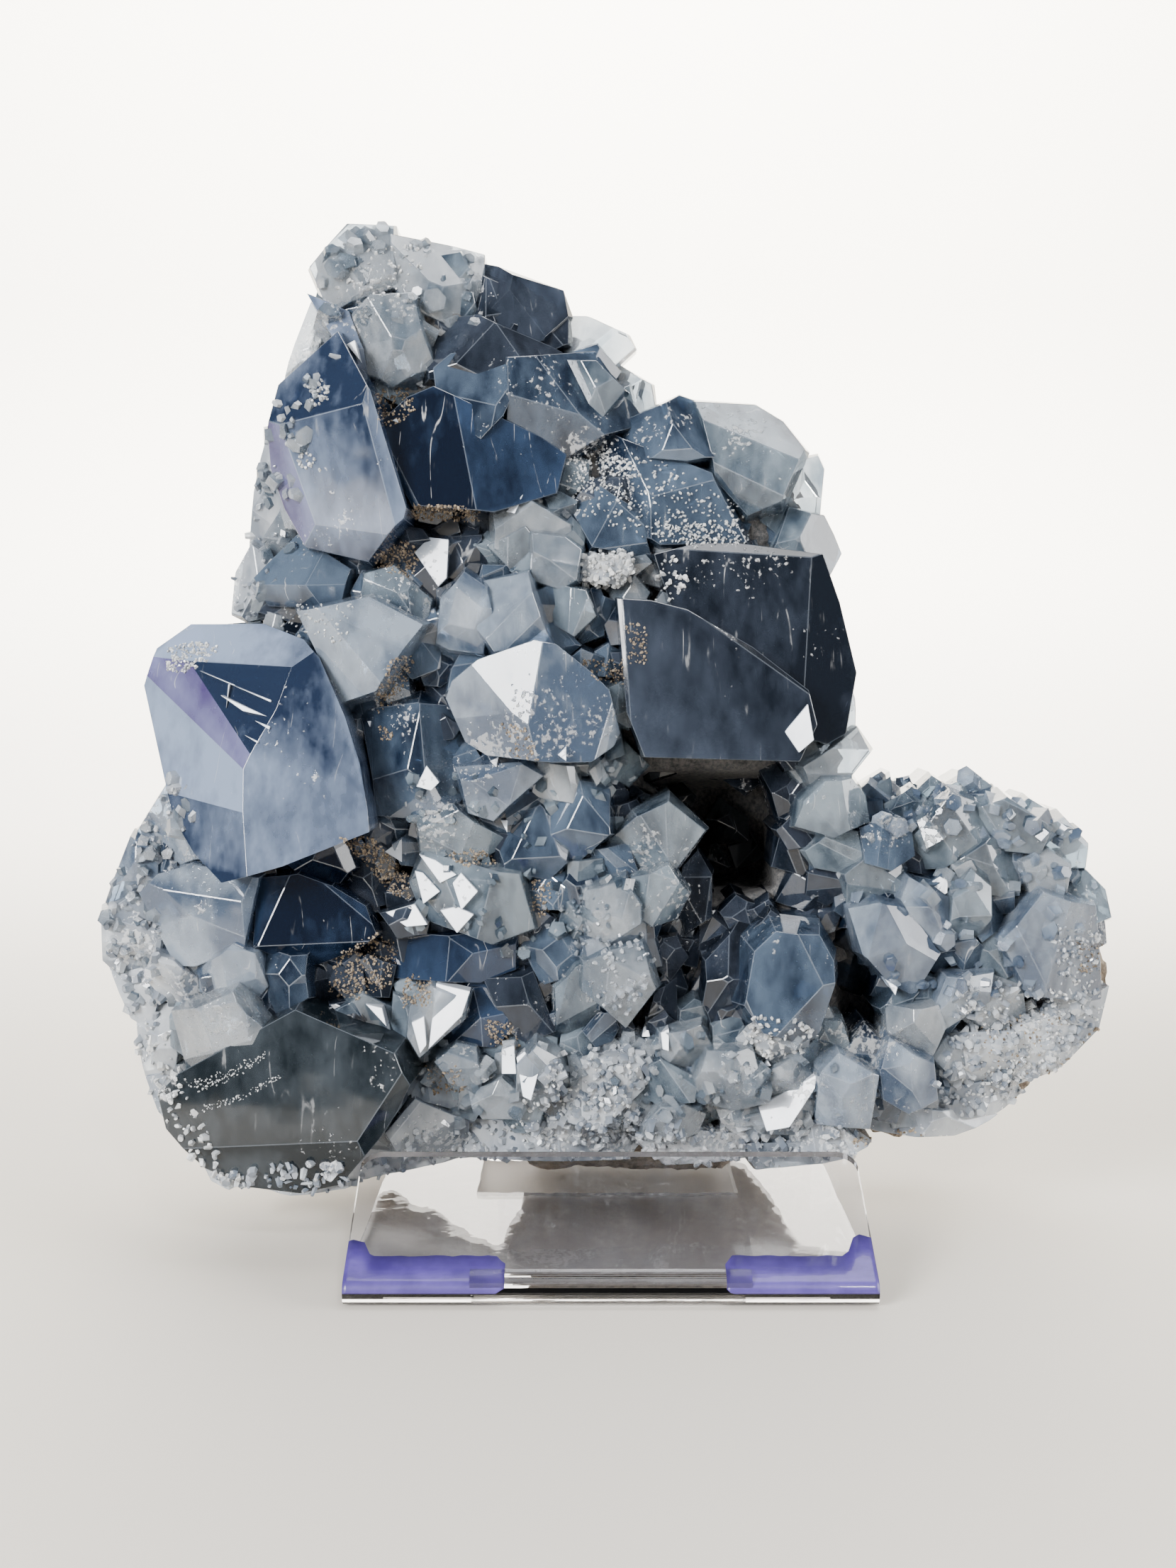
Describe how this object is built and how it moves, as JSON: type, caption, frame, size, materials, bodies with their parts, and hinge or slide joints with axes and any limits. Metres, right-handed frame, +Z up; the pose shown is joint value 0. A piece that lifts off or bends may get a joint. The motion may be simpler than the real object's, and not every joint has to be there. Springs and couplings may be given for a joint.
{
  "type": "crystal cluster on a display stand",
  "caption": "Blue-grey celestite crystal cluster with its rock backing, resting on a clear acrylic easel stand.",
  "frame": {"origin": "on the table, under the plane that runs up through the middle of the crystals, midway between the sides of the stand", "axes": "+Z up, +X to the right of someone who looks at the crystals, +Y away from them towards the rock at the back"},
  "size_m": [0.2447, 0.1186, 0.2379],
  "materials": {
    "celestite": "polished",
    "rock": "matte",
    "acrylic": "gloss"
  },
  "bodies": {
    "root": {"celestite_crystals": "celestite", "rock_matrix": "rock", "acrylic_stand": "acrylic"}
  },
  "joints": []
}
